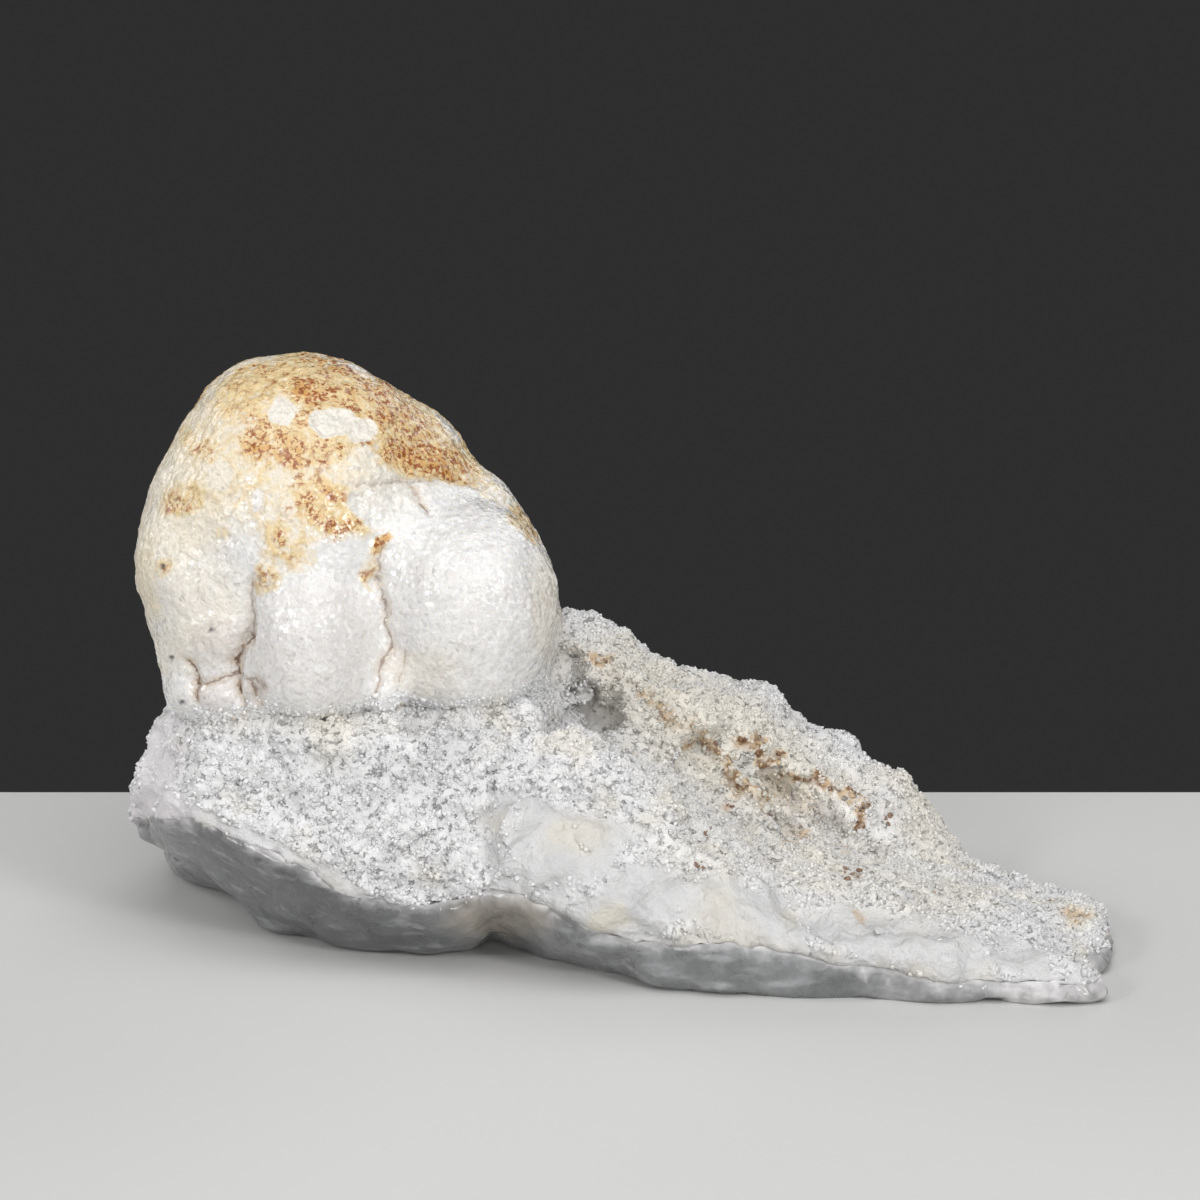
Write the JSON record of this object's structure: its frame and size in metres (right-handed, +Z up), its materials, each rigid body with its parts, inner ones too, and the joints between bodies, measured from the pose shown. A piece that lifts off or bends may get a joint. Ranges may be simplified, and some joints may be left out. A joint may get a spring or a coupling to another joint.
{
  "type": "howlite nodule on matrix",
  "caption": "Small loose mineral specimen: a lobed, stained white howlite nodule seated in a wedge of sugary white rock over a grey glassy layer, resting on a flat underside.",
  "frame": {"origin": "middle of the bounding box, on the surface that the specimen rests on", "axes": "+X along the wedge from the nodule to the thin end, -Y towards the side that shows the nodule, +Z up"},
  "size_m": [0.0386, 0.022, 0.0223],
  "materials": {
    "howlite": "white to cream sugary skin with ochre and brown iron stain on the crown, sparkling on the white lobes",
    "white_matrix": "rough sugary white rock with grey pits, compact patches and rusty stain in the trough",
    "glassy_layer": "grey, clear to cloudy glassy mineral with broken glossy faces"
  },
  "bodies": {
    "root": {"howlite_nodule": "howlite", "white_matrix": "white_matrix", "glassy_base": "glassy_layer"}
  },
  "joints": []
}
